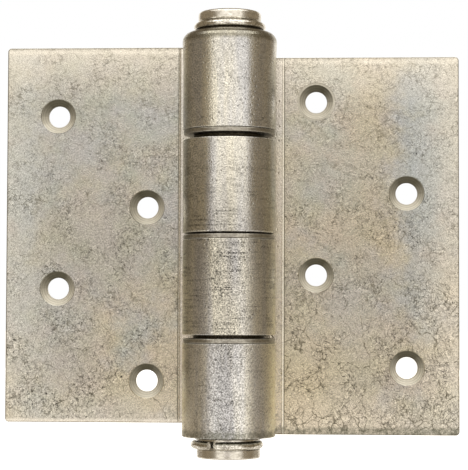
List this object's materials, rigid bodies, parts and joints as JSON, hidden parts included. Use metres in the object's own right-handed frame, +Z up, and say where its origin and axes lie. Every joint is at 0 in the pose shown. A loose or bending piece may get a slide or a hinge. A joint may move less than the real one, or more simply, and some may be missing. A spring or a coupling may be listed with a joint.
{
  "type": "leaf hinge",
  "caption": "Heavy flat-opening leaf hinge with interlocking rolled knuckles on a grooved through pin held by wire snap rings, thrust washers between knuckles and countersunk screw holes.",
  "frame": {"origin": "on the pin's axis, halfway along the pin", "axes": "+Z up along the pin, +X towards the right leaf's free edge, -Y towards the countersunk side; the leaves' mounting plane faces +Y"},
  "size_m": [0.1504, 0.0305, 0.1446],
  "materials": {
    "leaf": "yellowed zinc plate, worn",
    "pin": "turned, zinc plated",
    "ring": "drawn spring wire",
    "washer": "stamped, zinc plated",
    "bush": "turned, oiled"
  },
  "bodies": {
    "left_side": {"left_leaf": "leaf", "first_knuckle_bush": "bush", "third_knuckle_bush": "bush", "upper_thrust_washer": "washer", "middle_thrust_washer": "washer"},
    "right_side": {"right_leaf": "leaf", "second_knuckle_bush": "bush", "fourth_knuckle_bush": "bush", "lower_thrust_washer": "washer"},
    "pin": {"hinge_pin": "pin", "upper_snap_ring": "ring", "lower_snap_ring": "ring"}
  },
  "joints": [
    {"name": "leaf_swing", "type": "hinge", "parent": "left_side", "child": "right_side", "pos_m": [0, 0, 0], "axis": [0, 0, 1], "range_deg": [-195, 60]},
    {"name": "pin_turn", "type": "hinge", "parent": "left_side", "child": "pin", "pos_m": [0, 0, 0], "axis": [0, 0, 1], "continuous": true}
  ]
}
